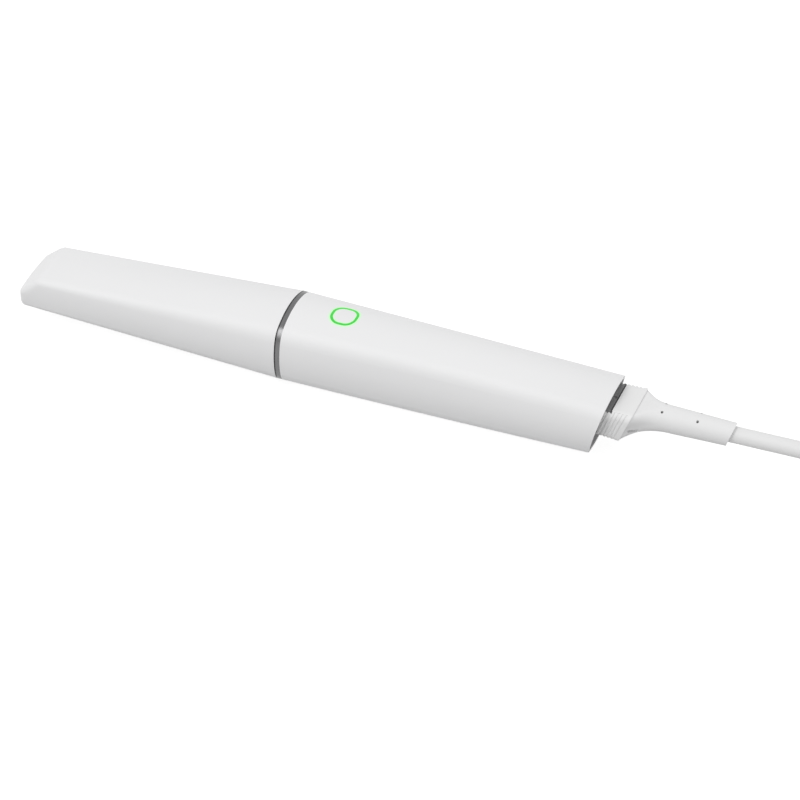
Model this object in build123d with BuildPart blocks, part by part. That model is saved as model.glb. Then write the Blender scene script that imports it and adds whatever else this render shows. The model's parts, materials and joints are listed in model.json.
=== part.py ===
from build123d import *
import math
import os

os.makedirs("parts", exist_ok=True)

# Intraoral scanner, in millimetres, lying on the flat of its belly at z = 0.
# +X runs from the scan tip to the cable and +Z is up. Distances along the wand are measured
# from the joint between the tip and the handpiece, and the joint is placed so that the object
# without its cord is centred on x = 0.

# Overall form of the wand
tip_length = 105.4
housing_length = 123.6
axis_z = 15.2
grip_width = 33.0
grip_height = 29.7
grip_corner = 8.25
grip_crown = 1.7
grip_bow = 0.6

# Section of the housing halfway along and at its mouth
waist_width = 29.8
waist_height = 30.34
waist_drop = 0.52
mouth_width = 30.1
mouth_height = 27.26
mouth_drop = 0.68
mouth_corner = 8.0
mouth_crown = 1.5
mouth_bow = 0.9
mouth_lean = 0.266
housing_wall = 1.8
mouth_wall = 1.2

# Trim ring and the joint with the tip
ring_width = 1.95
joint_gap = 0.3
seat_gap = 0.15

# Scan tip, its nose measured back from the front end
nose_setback = 9.4
nose_width = 26.0
nose_height = 15.3
nose_drop = 1.3
nose_corner = 2.8
nose_crown = 0.36
nose_slope = 42.4
shoulder_setback = 7.9
nose_round = 2.0
tip_wall = 1.6
window_length = 18.0
window_width = 17.0
window_lip = 3.4
window_corner = 2.0
mirror_thickness = 1.0
mirror_width = 20.6
mirror_length = 14.4
mirror_lean = 45.0
mirror_setback = 4.0
mirror_gap = 0.8
mirror_corner = 1.2
ledge_width = 1.6

# Snout that carries the tip
snout_length = 50.0
snout_wall = 1.5
slide_gap = 0.5
flange_depth = 8.0
glass_thickness = 1.2
glass_rebate = 0.8

# Projector and the two cameras
barrel_start = 24.0
projector_radius = 4.4
camera_radius = 3.0
camera_pitch = 8.1
barrel_wall = 0.9
hood_length = 4.0
hood_step = 0.3
lens_thickness = 1.5
bore_gap = 0.05

# Chassis inside the housing, and its boards
chassis_width = 19.0
chassis_floor = 1.6
chassis_z = 5.0
bulkhead_thickness = 3.0
bulkhead_gap = 0.4
cradle_x = 33.0
cradle_width = 24.0
cradle_corner = 3.0
post_radius = 1.6
post_inset = 2.6
tab_length = 7.5
tab_width = 4.6
tab_height = 3.6
board_thickness = 1.6
sensor_board_width = 20.0
sensor_board_height = 13.0
main_board_width = 21.0
main_board_start = 42.0
board_overlap = 2.0
board_corner = 1.0

# Processor and its heat sink
chip_x = 66.0
chip_size = 14.0
chip_height = 1.5
sink_length = 26.0
sink_width = 18.0
sink_base = 1.6
sink_height = 9.0
fin_count = 6
fin_thickness = 1.0

# Button, its light ring and its switch
button_x = 21.3
button_size = 8.3
button_corner = 3.4
button_travel = 0.6
button_flange = 0.6
button_flange_width = 0.5
button_flange_gap = 0.1
light_width = 0.8
light_gap = 0.15
light_depth = 3.9
light_foot = 0.8
light_foot_width = 0.8
opening_gap = 0.05
switch_gap = 0.1
switch_size = 5.0
switch_height = 1.5
switch_corner = 0.4
plunger_radius = 1.2
plunger_length = 0.3
button_board_width = 14.0

# Plug in the mouth, measured along the wand from the mouth
core_width = 18.6
core_height = 10.4
core_corner = 2.0
core_rise = 2.7
core_front = -17.1
core_rear = 6.4
core_shown = 4.6
core_lip = 0.35
dimple_x = 3.0
dimple_radius = 0.7
socket_wall = 1.5
socket_gap = 0.3
socket_back = -19.6
plate_x = -10.1
plate_thickness = 2.5
plate_gap = 0.05
tongue_width = 12.0
tongue_thickness = 1.2
tongue_length = 7.0
tongue_gap = 0.4
screw_pitch = 14.0
screw_z = 7.5
screw_radius = 1.0
screw_head_radius = 1.9
screw_head_height = 1.2
screw_length = 6.0
screw_slot_width = 0.6
screw_slot_depth = 0.5

# Grip of the plug
grip_front = -2.2
grip_rear = 10.1
grip_rear_lean = 0.385
plug_width = 19.8
plug_height = 12.6
plug_flare = 0.5
plug_corner = 2.8
plug_rise = 2.15
rib_count = 3
rib_pitch = 2.2
rib_start = 0.6
rib_depth = 0.35
rib_width = 1.1

# Boot over the cable
boot_rise = 4.1
boot_end = 47.1
boot_end_lean = 0.325
boot_end_radius = 4.45
boot_neck_radius = 5.0
boot_neck_x = 25.4
boot_width = 18.0
boot_height = 11.2
boot_corner = 2.8
boot_start_rise = 2.5
boot_flare = 2.3
boot_round = 0.98
boot_bore_depth = 9.0
vent_pitch_x = 13.4
vent_pitch_y = 5.14
vent_first = 21.5
vent_radius = 0.45
vent_depth = 1.2

# Cable, the hank that holds the rest of it, and the plug at the host end
cable_diameter = 6.2
hank_run = 90.0
hank_fold = 18.6
hank_rows = 3
hank_columns = 2
hank_gap = 43.2
hank_y = 11.0
lead_out = 14.0
lead_step = 23.4
tail_in = 4.9
tail_step = 22.0
tie_width = 9.0
tie_thickness = 0.8
tie_place = 18.0
host_y = 7.4
host_width = 16.0
host_thickness = 8.0
host_length = 17.0
host_relief = 7.0
host_corner = 2.0
shell_width = 12.0
shell_thickness = 4.5
shell_length = 12.0
shell_wall = 0.4
tongue_inset = 0.5

# Where the pieces come along the wand
boot_reach = boot_end + boot_end_lean * boot_end_radius
joint_x = (tip_length - housing_length - boot_reach) / 2
mouth_x = joint_x + housing_length
boot_tip_x = mouth_x + boot_reach
nose_station = tip_length - nose_setback
nose_shoulder = tip_length - shoulder_setback
mirror_foot = tip_length - mirror_setback
cable_radius = cable_diameter / 2
cable_z = axis_z + boot_rise


def along(start, end, share):
    """Value at a share of the way from start to end."""
    return start + (end - start) * share


def bowed(start, middle, end, share):
    """Value on the parabola through start, middle and end, at a share of its length."""
    return (start * (1 - 2 * share) * (1 - share) + 4 * middle * share * (1 - share)
            + end * share * (2 * share - 1))


def wand_section(x, width, height, corner, crown, bow, centre_z, inset):
    """Rounded section across the wand at x, its four sides slightly arched, drawn inset inwards."""
    across = width / 2 - corner
    up = height / 2 - corner
    side = across - bow
    shoulder = up - crown
    with BuildSketch(Plane.YZ.offset(x)) as outline:
        with BuildLine():
            ThreePointArc((-side, centre_z + shoulder), (0, centre_z + up), (side, centre_z + shoulder))
            ThreePointArc((side, centre_z + shoulder), (across, centre_z), (side, centre_z - shoulder))
            ThreePointArc((side, centre_z - shoulder), (0, centre_z - up), (-side, centre_z - shoulder))
            ThreePointArc((-side, centre_z - shoulder), (-across, centre_z), (-side, centre_z + shoulder))
        make_face()
        offset(amount=corner - inset)
    return outline.sketch


def housing_section(x, inset):
    """Section of the handpiece at x."""
    share = (x - joint_x) / housing_length
    return wand_section(
        x,
        bowed(grip_width, waist_width, mouth_width, share),
        bowed(grip_height, waist_height, mouth_height, share),
        along(grip_corner, mouth_corner, share),
        along(grip_crown, mouth_crown, share),
        along(grip_bow, mouth_bow, share),
        axis_z - bowed(0, waist_drop, mouth_drop, share),
        inset,
    )


def tip_section(x, inset):
    """Section of the scan tip at x."""
    share = (joint_x - x) / nose_station
    return wand_section(
        x,
        along(grip_width, nose_width, share),
        along(grip_height, nose_height, share),
        along(grip_corner, nose_corner, share),
        along(grip_crown, nose_crown, share),
        along(grip_bow, nose_crown, share),
        axis_z - along(0, nose_drop, share),
        inset,
    )


def wall_at(x):
    """Thickness of the housing's wall at x, thinner towards the mouth."""
    return along(housing_wall, mouth_wall, (x - joint_x) / housing_length)


def export(part, name):
    """Label a finished piece and write it."""
    part.label = name
    export_step(part, f"parts/{name}.step")


# Housing: one moulded sleeve, drawn through stations along its length
front_x = joint_x + ring_width
past_mouth = housing_length * 1.08
stations = [front_x] + [joint_x + past_mouth * share for share in (0.25, 0.5, 0.75, 1.0)]
button_z = axis_z + bowed(grip_height, waist_height, mouth_height, button_x / housing_length) / 2
button_z = button_z - bowed(0, waist_drop, mouth_drop, button_x / housing_length)
mouth_plane = Plane(
    origin=(mouth_x, 0, axis_z - mouth_drop), x_dir=(0, 1, 0), z_dir=(1, 0, -mouth_lean)
)
light_inner = button_size + 2 * light_gap
light_outer = light_inner + 2 * light_width
light_corner = button_corner + light_gap + light_width

with BuildPart() as housing_skin:
    loft(sections=[housing_section(x, 0) for x in stations])
    split(bisect_by=Plane.XY, keep=Keep.TOP)

with BuildPart() as housing_shell:
    add(housing_skin.part)
    loft(sections=[housing_section(x, wall_at(x)) for x in stations], mode=Mode.SUBTRACT)
    with BuildSketch(Plane.XY.offset(axis_z)) as opening:
        with Locations((joint_x + button_x, 0)):
            opening_size = light_outer + 2 * opening_gap
            RectangleRounded(opening_size, opening_size, light_corner + opening_gap)
    extrude(amount=grip_height, mode=Mode.SUBTRACT)
    split(bisect_by=mouth_plane, keep=Keep.BOTTOM)
export(housing_shell.part, "housing_shell")

# Trim ring between tip and housing
with BuildPart() as trim_ring:
    ring_stations = (joint_x, front_x)
    loft(sections=[housing_section(x, 0) for x in ring_stations])
    loft(sections=[housing_section(x, housing_wall) for x in ring_stations], mode=Mode.SUBTRACT)
export(trim_ring.part, "trim_ring")

# Scan tip: a straight taper closed by a sloping nose, hollow, open at the joint and below the mirror
tip_rear = joint_x - joint_gap
nose_x = joint_x - tip_length
shoulder_x = joint_x - nose_shoulder
shoulder_z = axis_z + nose_height / 2 - nose_drop
slope_normal = (-math.sin(math.radians(nose_slope)), 0, math.cos(math.radians(nose_slope)))
slope_plane = Plane(origin=(shoulder_x, 0, shoulder_z), x_dir=(0, 1, 0), z_dir=slope_normal)
mirror_normal = (math.sin(math.radians(mirror_lean)), 0, -math.cos(math.radians(mirror_lean)))
foot_share = mirror_foot / nose_station
foot_height = along(grip_height, nose_height, foot_share) / 2 - nose_crown
mirror_foot_z = axis_z - along(0, nose_drop, foot_share) - foot_height + tip_wall + mirror_gap
mirror_seat = Plane(
    origin=(joint_x - mirror_foot, 0, mirror_foot_z), x_dir=(0, 1, 0), z_dir=mirror_normal
)
beyond_nose = nose_x - 5

with BuildPart() as tip_bore:
    loft(sections=[tip_section(x, tip_wall) for x in (joint_x + 1, beyond_nose)], ruled=True)

with BuildPart() as nose_cavity:
    add(tip_bore.part)
    split(bisect_by=slope_plane.offset(-tip_wall), keep=Keep.BOTTOM)
    split(bisect_by=Plane.YZ.offset(nose_x + tip_wall), keep=Keep.TOP)
    split(bisect_by=Plane.XZ.offset(mirror_width / 2 - ledge_width), keep=Keep.BOTTOM)
    split(bisect_by=Plane.XZ.offset(ledge_width - mirror_width / 2), keep=Keep.TOP)

with BuildPart() as tip_cavity:
    add(tip_bore.part)
    split(bisect_by=mirror_seat, keep=Keep.TOP)
    add(nose_cavity.part)

with BuildPart() as tip_shell:
    loft(sections=[tip_section(x, 0) for x in (tip_rear, beyond_nose)], ruled=True)
    split(bisect_by=slope_plane, keep=Keep.BOTTOM)
    split(bisect_by=Plane.YZ.offset(nose_x), keep=Keep.TOP)
    nose_faces = tip_shell.faces().filter_by(GeomType.PLANE).sort_by(Axis.X)[:2]
    fillet(nose_faces.edges(), radius=nose_round)
    add(tip_cavity.part, mode=Mode.SUBTRACT)
    with BuildSketch(Plane.XY) as scan_window:
        with Locations((nose_x + window_lip + window_length / 2, 0)):
            RectangleRounded(window_length, window_width, window_corner)
    extrude(amount=axis_z - nose_drop, mode=Mode.SUBTRACT)
export(tip_shell.part, "tip_shell")

# Mirror on its two ledges, folding the view down through the window
with BuildPart() as tip_mirror:
    with BuildSketch(mirror_seat):
        with Locations((0, mirror_length / 2)):
            RectangleRounded(mirror_width, mirror_length, mirror_corner)
    extrude(amount=mirror_thickness)
export(tip_mirror.part, "tip_mirror")

# Snout: the hollow front of the handpiece, which the tip slides over, with a flange in the housing
snout_front = joint_x - snout_length
flange_rear = joint_x + flange_depth
snout_inset = tip_wall + slide_gap

with BuildPart() as snout:
    loft(sections=[housing_section(x, wall_at(x) + seat_gap) for x in (joint_x, flange_rear)])
    loft(sections=[tip_section(x, snout_inset) for x in (joint_x, snout_front)], ruled=True)
    cavity_front = snout_front + glass_thickness
    loft(
        sections=[tip_section(x, snout_inset + snout_wall) for x in (flange_rear, cavity_front)],
        ruled=True,
        mode=Mode.SUBTRACT,
    )
    loft(
        sections=[tip_section(x, snout_inset + glass_rebate) for x in (snout_front, cavity_front)],
        ruled=True,
        mode=Mode.SUBTRACT,
    )
export(snout.part, "snout")

with BuildPart() as snout_window:
    glass_inset = snout_inset + glass_rebate + bore_gap
    loft(sections=[tip_section(x, glass_inset) for x in (snout_front, cavity_front)], ruled=True)
export(snout_window.part, "snout_window")

# Projector between two cameras, each a turned barrel with a hood and a front lens
barrel_front = joint_x - barrel_start
cradle_front = joint_x + cradle_x
cradle_rear = cradle_front + bulkhead_thickness


def turned_about(y):
    """Drawing plane whose x runs along the wand and whose y is the radius from a barrel's axis."""
    return Plane(origin=(0, y, axis_z), x_dir=(1, 0, 0), z_dir=(0, -1, 0))


def barrel(y, radius):
    """Turned barrel about the line at y, bored at the front for its lens."""
    lens_seat = barrel_front + hood_length
    with BuildPart() as turned:
        with BuildSketch(turned_about(y)):
            with BuildLine():
                Polyline(
                    (barrel_front, radius - barrel_wall),
                    (barrel_front, radius + hood_step),
                    (lens_seat, radius + hood_step),
                    (lens_seat, radius),
                    (cradle_rear, radius),
                    (cradle_rear, 0),
                    (lens_seat, 0),
                    (lens_seat, radius - barrel_wall),
                    close=True,
                )
            make_face()
        revolve(axis=Axis((0, y, axis_z), (1, 0, 0)))
    return turned.part


def lens(y, radius):
    """Front lens, flat against the floor of its barrel's bore and domed outwards."""
    rim = radius - barrel_wall - bore_gap
    lens_seat = barrel_front + hood_length
    edge = lens_seat - lens_thickness * 0.6
    with BuildPart() as ground:
        with BuildSketch(turned_about(y)):
            with BuildLine():
                Polyline((edge, rim), (lens_seat, rim), (lens_seat, 0), (lens_seat - lens_thickness, 0))
                ThreePointArc(
                    (lens_seat - lens_thickness, 0),
                    (lens_seat - lens_thickness * 0.9, rim / 2),
                    (edge, rim),
                )
            make_face()
        revolve(axis=Axis((0, y, axis_z), (1, 0, 0)))
    return ground.part


export(barrel(0, projector_radius), "projector_barrel")
export(lens(0, projector_radius), "projector_lens")
for side, y in (("left", -camera_pitch), ("right", camera_pitch)):
    export(barrel(y, camera_radius), f"camera_barrel_{side}")
    export(lens(y, camera_radius), f"camera_lens_{side}")

# Levels of the button stack, from the skin down to the board that carries the switch
light_bottom = button_z - light_depth
flange_top = light_bottom - button_flange_gap
plunger_bottom = flange_top - button_flange - plunger_length
switch_top = plunger_bottom - button_travel - switch_gap
button_board_top = switch_top - switch_height
button_board_bottom = button_board_top - board_thickness

# Levels of the plug and of the main board under its socket
core_z = axis_z + core_rise
socket_width = core_width + 2 * (socket_gap + socket_wall)
socket_height = core_height + 2 * (socket_gap + socket_wall)
main_board_top = core_z - socket_height / 2
main_board_bottom = main_board_top - board_thickness
main_board_end = housing_length + socket_back + board_overlap
main_board_length = main_board_end - main_board_start
main_board_x = joint_x + (main_board_start + main_board_end) / 2

# Chassis: a cast floor with a bulkhead and a cradle for the barrels, posts and screw tabs
chassis_end = mouth_x + plate_x
floor_top = chassis_z + chassis_floor
post_places = [
    (main_board_x + end * (main_board_length / 2 - post_inset), side * (chassis_width / 2 - post_inset))
    for end in (-1, 1)
    for side in (-1, 1)
]


with BuildPart() as chassis:
    extrude(
        housing_section(flange_rear, housing_wall + bulkhead_gap), amount=bulkhead_thickness
    )
    with BuildSketch(Plane.YZ.offset(flange_rear)):
        with Locations((0, button_board_bottom + grip_height / 2)):
            Rectangle(button_board_width + 2 * bore_gap, grip_height)
    extrude(amount=bulkhead_thickness, mode=Mode.SUBTRACT)
    with BuildSketch(Plane.XY.offset(chassis_z)):
        with Locations(((flange_rear + chassis_end) / 2, 0)):
            Rectangle(chassis_end - flange_rear, chassis_width)
    extrude(amount=chassis_floor)
    cradle_height = button_board_bottom - chassis_z
    with BuildSketch(Plane.YZ.offset(cradle_front)):
        with Locations((0, chassis_z + cradle_height / 2)):
            RectangleRounded(cradle_width, cradle_height, cradle_corner)
    extrude(amount=bulkhead_thickness)
    with BuildSketch(Plane.YZ.offset(flange_rear)):
        with Locations((0, axis_z)):
            Circle(projector_radius + bore_gap)
        with Locations((-camera_pitch, axis_z), (camera_pitch, axis_z)):
            Circle(camera_radius + bore_gap)
    extrude(amount=cradle_rear - flange_rear, mode=Mode.SUBTRACT)
    with BuildSketch(Plane.XY.offset(floor_top)):
        with Locations(*post_places):
            Circle(post_radius)
    extrude(amount=main_board_bottom - floor_top)
    with BuildSketch(Plane.XY.offset(floor_top)):
        with Locations((chassis_end - tab_length / 2, 0)):
            with GridLocations(0, screw_pitch, 1, 2):
                Rectangle(tab_length, tab_width)
    extrude(amount=tab_height)
    with BuildSketch(Plane.YZ.offset(chassis_end)):
        with Locations((0, screw_z)):
            with GridLocations(screw_pitch, 0, 2, 1):
                Circle(screw_radius)
    extrude(amount=plate_thickness - screw_length, mode=Mode.SUBTRACT)
export(chassis.part, "chassis")

# Boards on the chassis
with BuildPart() as sensor_board:
    with BuildSketch(Plane.YZ.offset(cradle_rear)):
        with Locations((0, axis_z)):
            RectangleRounded(sensor_board_width, sensor_board_height, board_corner)
    extrude(amount=board_thickness)
export(sensor_board.part, "sensor_board")

with BuildPart() as main_board:
    with BuildSketch(Plane.XY.offset(main_board_bottom)):
        with Locations((main_board_x, 0)):
            RectangleRounded(main_board_length, main_board_width, board_corner)
    extrude(amount=board_thickness)
export(main_board.part, "main_board")

with BuildPart() as button_board:
    with BuildSketch(Plane.XY.offset(button_board_bottom)):
        with Locations(((flange_rear + cradle_rear) / 2, 0)):
            Rectangle(cradle_rear - flange_rear, button_board_width)
    extrude(amount=board_thickness)
export(button_board.part, "button_board")

# Processor and its finned heat sink on the main board
sink_x = joint_x + chip_x
sink_bottom = main_board_top + chip_height

with BuildPart() as processor:
    with BuildSketch(Plane.XY.offset(main_board_top)):
        with Locations((sink_x, 0)):
            RectangleRounded(chip_size, chip_size, board_corner)
    extrude(amount=chip_height)
export(processor.part, "processor")

with BuildPart() as heat_sink:
    with BuildSketch(Plane.YZ.offset(sink_x - sink_length / 2)):
        with Locations((0, sink_bottom + sink_base / 2)):
            Rectangle(sink_width, sink_base)
        with Locations((0, sink_bottom + sink_height / 2)):
            with GridLocations((sink_width - fin_thickness) / (fin_count - 1), 0, fin_count, 1):
                Rectangle(fin_thickness, sink_height)
    extrude(amount=sink_length)
export(heat_sink.part, "heat_sink")

# Button: light ring flush in the housing, cap sliding inside it, switch on its board
light_base = Plane.XY.offset(light_bottom).shift_origin((joint_x + button_x, 0, light_bottom))

with BuildPart() as light_ring:
    with BuildSketch(light_base):
        RectangleRounded(light_outer, light_outer, light_corner)
    extrude(amount=grip_height / 2)
    add(housing_skin.part, mode=Mode.INTERSECT)
    with BuildSketch(light_base):
        foot_size = light_outer + 2 * light_foot_width
        RectangleRounded(foot_size, foot_size, light_corner + light_foot_width)
    extrude(amount=light_foot)
    with BuildSketch(light_base):
        RectangleRounded(light_inner, light_inner, button_corner + light_gap)
    extrude(amount=grip_height / 2, mode=Mode.SUBTRACT)
export(light_ring.part, "light_ring")

with BuildPart() as button_cap:
    with BuildSketch(light_base.offset(-button_flange_gap)):
        RectangleRounded(button_size, button_size, button_corner)
    extrude(amount=grip_height / 2)
    add(housing_skin.part, mode=Mode.INTERSECT)
    with BuildSketch(light_base.offset(-button_flange_gap)):
        flange_size = light_inner + 2 * button_flange_width
        RectangleRounded(flange_size, flange_size, button_corner + light_gap + button_flange_width)
    extrude(amount=-button_flange)
    with BuildSketch(light_base.offset(plunger_bottom - light_bottom)):
        Circle(plunger_radius)
    extrude(amount=plunger_length)
export(button_cap.part, "button_cap")

with BuildPart() as button_switch:
    with BuildSketch(light_base.offset(button_board_top - light_bottom)):
        RectangleRounded(switch_size, switch_size, switch_corner)
    extrude(amount=switch_height * 0.7)
    with BuildSketch(light_base.offset(button_board_top - light_bottom)):
        Circle(plunger_radius)
    extrude(amount=switch_height)
export(button_switch.part, "button_switch")

# Rear plate across the mouth, with the socket through it and two screws into the chassis
plate_front = mouth_x + plate_x
plate_rear = plate_front + plate_thickness
socket_corner = core_corner + socket_gap + socket_wall

with BuildPart() as rear_plate:
    extrude(housing_section(plate_front, wall_at(plate_front) + seat_gap), amount=plate_thickness)
    with BuildSketch(Plane.YZ.offset(plate_front)):
        with Locations((0, core_z)):
            RectangleRounded(
                socket_width + 2 * plate_gap, socket_height + 2 * plate_gap, socket_corner + plate_gap
            )
        with Locations((0, screw_z)):
            with GridLocations(screw_pitch, 0, 2, 1):
                Circle(screw_radius + plate_gap)
    extrude(amount=plate_thickness, mode=Mode.SUBTRACT)
export(rear_plate.part, "rear_plate")

with BuildPart() as rear_screws:
    with BuildSketch(Plane.YZ.offset(plate_rear)):
        with Locations((0, screw_z)):
            with GridLocations(screw_pitch, 0, 2, 1):
                Circle(screw_head_radius)
    extrude(amount=screw_head_height)
    with BuildSketch(Plane.YZ.offset(plate_rear + screw_head_height)):
        with Locations((0, screw_z)):
            with GridLocations(screw_pitch, 0, 2, 1):
                Rectangle(screw_head_radius * 2, screw_slot_width)
                Rectangle(screw_slot_width, screw_head_radius * 2)
    extrude(amount=-screw_slot_depth, mode=Mode.SUBTRACT)
    with BuildSketch(Plane.YZ.offset(plate_rear)):
        with Locations((0, screw_z)):
            with GridLocations(screw_pitch, 0, 2, 1):
                Circle(screw_radius)
    extrude(amount=-screw_length)
export(rear_screws.part, "rear_screws")

socket_floor = mouth_x + socket_back + socket_wall

with BuildPart() as plug_socket:
    with BuildSketch(Plane.YZ.offset(mouth_x + socket_back)):
        with Locations((0, core_z)):
            RectangleRounded(socket_width, socket_height, socket_corner)
    extrude(amount=plate_rear - mouth_x - socket_back)
    with BuildSketch(Plane.YZ.offset(socket_floor)):
        with Locations((0, core_z)):
            RectangleRounded(
                core_width + 2 * socket_gap, core_height + 2 * socket_gap, core_corner + socket_gap
            )
    extrude(amount=plate_rear - socket_floor, mode=Mode.SUBTRACT)
export(plug_socket.part, "plug_socket")

with BuildPart() as contact_tongue:
    with BuildSketch(Plane.YZ.offset(socket_floor)):
        with Locations((0, core_z)):
            Rectangle(tongue_width, tongue_thickness)
    extrude(amount=tongue_length)
export(contact_tongue.part, "contact_tongue")

# Plug: a dark core in a ribbed white grip, whose rear face leans as the mouth does
core_x = mouth_x + core_front
grip_z = axis_z + plug_rise
grip_plane = Plane(
    origin=(mouth_x + grip_rear, 0, grip_z), x_dir=(0, 1, 0), z_dir=(1, 0, -grip_rear_lean)
)

with BuildPart() as plug_connector:
    with BuildSketch(Plane.YZ.offset(core_x)):
        with Locations((0, core_z)):
            RectangleRounded(core_width, core_height, core_corner)
    extrude(amount=core_rear - core_front)
    with BuildSketch(Plane.YZ.offset(core_x)):
        with Locations((0, core_z)):
            Rectangle(tongue_width + 2 * tongue_gap, tongue_thickness + 2 * tongue_gap)
    extrude(amount=socket_floor + tongue_length + tongue_gap - core_x, mode=Mode.SUBTRACT)
    with Locations((mouth_x + dimple_x, 0, core_z + core_height / 2)):
        Sphere(dimple_radius, mode=Mode.SUBTRACT)
export(plug_connector.part, "plug_connector")


def grip_section(x):
    """Section of the plug's grip at x, a little larger towards the rear."""
    flare = 2 * plug_flare * (x - mouth_x - grip_front) / (grip_rear - grip_front)
    with BuildSketch(Plane.YZ.offset(x)) as block:
        with Locations((0, grip_z)):
            RectangleRounded(plug_width + flare, plug_height + flare, plug_corner)
    return block.sketch


rib_radius = (rib_width ** 2 / 4 + rib_depth ** 2) / (2 * rib_depth)
rib_places = []
for rib in range(rib_count):
    rib_x = mouth_x + rib_start + rib * rib_pitch
    rib_share = (rib_start + rib * rib_pitch - grip_front) / (grip_rear - grip_front)
    rib_y = plug_width / 2 + plug_flare * rib_share + rib_radius - rib_depth
    for side in (-1, 1):
        rib_places.append(
            Plane(origin=(rib_x, side * rib_y, grip_z), x_dir=(0, 1, 0), z_dir=(mouth_lean, 0, 1)).location
        )

with BuildPart() as plug_grip:
    grip_start = mouth_x + grip_front
    loft(sections=[grip_section(x) for x in (grip_start, mouth_x + boot_neck_x)], ruled=True)
    split(bisect_by=grip_plane, keep=Keep.BOTTOM)
    with Locations(*rib_places):
        Cylinder(rib_radius, plug_height * 2, mode=Mode.SUBTRACT)
    with BuildSketch(Plane.YZ.offset(grip_start)):
        with Locations((0, core_z)):
            RectangleRounded(core_width, core_height, core_corner)
    extrude(amount=core_rear - grip_front, mode=Mode.SUBTRACT)
    with BuildSketch(Plane.YZ.offset(grip_start)):
        with Locations((0, core_z + core_height / 2)):
            Rectangle(core_width - 2 * core_lip, 2 * core_corner)
    extrude(amount=core_shown - grip_front, mode=Mode.SUBTRACT)
export(plug_grip.part, "plug_grip")

# Boot: a concave flare from the grip down to a round neck, with four vents and a slanted end
boot_plane = Plane(
    origin=(mouth_x + boot_end, 0, cable_z), x_dir=(0, 1, 0), z_dir=(1, 0, -boot_end_lean)
)


def boot_section(share):
    """Section of the flare at a share of its length, leaning less towards the neck."""
    swell = (1 - share) ** boot_flare
    neck = 2 * boot_neck_radius
    lean = grip_rear_lean * (1 - share)
    z = along(cable_z, axis_z + boot_start_rise, swell)
    x = mouth_x + along(grip_rear, boot_neck_x, share) + lean * (z - grip_z)
    plane = Plane(origin=(x, 0, z), x_dir=(0, 1, 0), z_dir=(1, 0, -lean))
    with BuildSketch(plane) as ring:
        RectangleRounded(
            along(neck, boot_width, swell),
            along(neck, boot_height, swell),
            along(boot_neck_radius * boot_round, boot_corner, swell),
        )
    return ring.sketch


def neck_section(x):
    """Round section of the neck at x, measured from the mouth."""
    share = (x - boot_neck_x) / (boot_end - boot_neck_x)
    radius = along(boot_neck_radius, boot_end_radius, share)
    with BuildSketch(Plane.YZ.offset(mouth_x + x)) as ring:
        with Locations((0, cable_z)):
            RectangleRounded(2 * radius, 2 * radius, radius * boot_round)
    return ring.sketch


with BuildPart() as cable_boot:
    loft(sections=[boot_section(share) for share in (0, 0.1, 0.25, 0.45, 0.7, 1)])
    loft(sections=[neck_section(x) for x in (boot_neck_x, boot_reach + 1)], ruled=True)
    split(bisect_by=boot_plane, keep=Keep.BOTTOM)
    with BuildSketch(Plane.YZ.offset(boot_tip_x - boot_bore_depth)):
        with Locations((0, cable_z)):
            Circle(cable_radius)
    extrude(amount=2 * boot_bore_depth, mode=Mode.SUBTRACT)
    vent_z = cable_z + math.sqrt(boot_neck_radius ** 2 - (vent_pitch_y / 2) ** 2) - vent_depth
    with BuildSketch(Plane.XY.offset(vent_z)):
        with Locations((mouth_x + vent_first + vent_pitch_x / 2, 0)):
            with GridLocations(vent_pitch_x, vent_pitch_y, 2, 2):
                Circle(vent_radius)
    extrude(amount=boot_neck_radius, mode=Mode.SUBTRACT)
export(cable_boot.part, "cable_boot")

# Cable: straight out of the boot, over to the hank's top layer, and out of its bottom layer inside
hank_height = hank_rows * cable_diameter
hank_outer = hank_fold + (hank_columns - 1) * cable_diameter
hank_left = boot_tip_x + hank_gap + hank_outer + cable_radius
hank_x = hank_left + hank_run / 2
hank_top_z = hank_height - cable_radius
cable_start = boot_tip_x - boot_bore_depth
cable_route = [
    (cable_start, 0, cable_z),
    (boot_tip_x + lead_out, 0, cable_z),
    (boot_tip_x + lead_out + lead_step, -0.9, cable_z - 0.1),
    (boot_tip_x + lead_out + 2 * lead_step, hank_y - hank_outer, hank_top_z + 0.8),
    (boot_tip_x + lead_out + 3 * lead_step, hank_y - hank_outer, hank_top_z),
]
tail_route = [
    (hank_left - tail_in, hank_y - hank_fold, cable_radius),
    (hank_left - tail_in + tail_step, hank_y - hank_fold, cable_radius),
    (hank_left - tail_in + 2 * tail_step, host_y, host_thickness / 2),
    (hank_left - tail_in + 3 * tail_step, host_y, host_thickness / 2),
]


def turn_radii(points, name):
    """Radius for each corner of a route: 0.45 of the shorter run over the tangent of half the turn."""
    radii = []
    for before, corner, after in zip(points, points[1:], points[2:]):
        run_in = Vector(*corner) - Vector(*before)
        run_out = Vector(*after) - Vector(*corner)
        turn = math.radians(run_in.get_angle(run_out))
        radii.append(0.45 * min(run_in.length, run_out.length) / math.tan(turn / 2))
    print(name, "radii", [round(radius, 1) for radius in radii])
    return radii


with BuildPart() as cable:
    with BuildLine() as cable_line:
        FilletPolyline(*cable_route, radius=turn_radii(cable_route, "cable"))
    with BuildSketch(Plane(origin=cable_line.line @ 0, z_dir=cable_line.line % 0)):
        Circle(cable_radius)
    sweep()
export(cable.part, "cable")

with BuildPart() as cable_tail:
    with BuildLine() as tail_line:
        FilletPolyline(*tail_route, radius=turn_radii(tail_route, "tail"))
    with BuildSketch(Plane(origin=tail_line.line @ 0, z_dir=tail_line.line % 0)):
        Circle(cable_radius)
    sweep()
export(cable_tail.part, "cable_tail")

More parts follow.
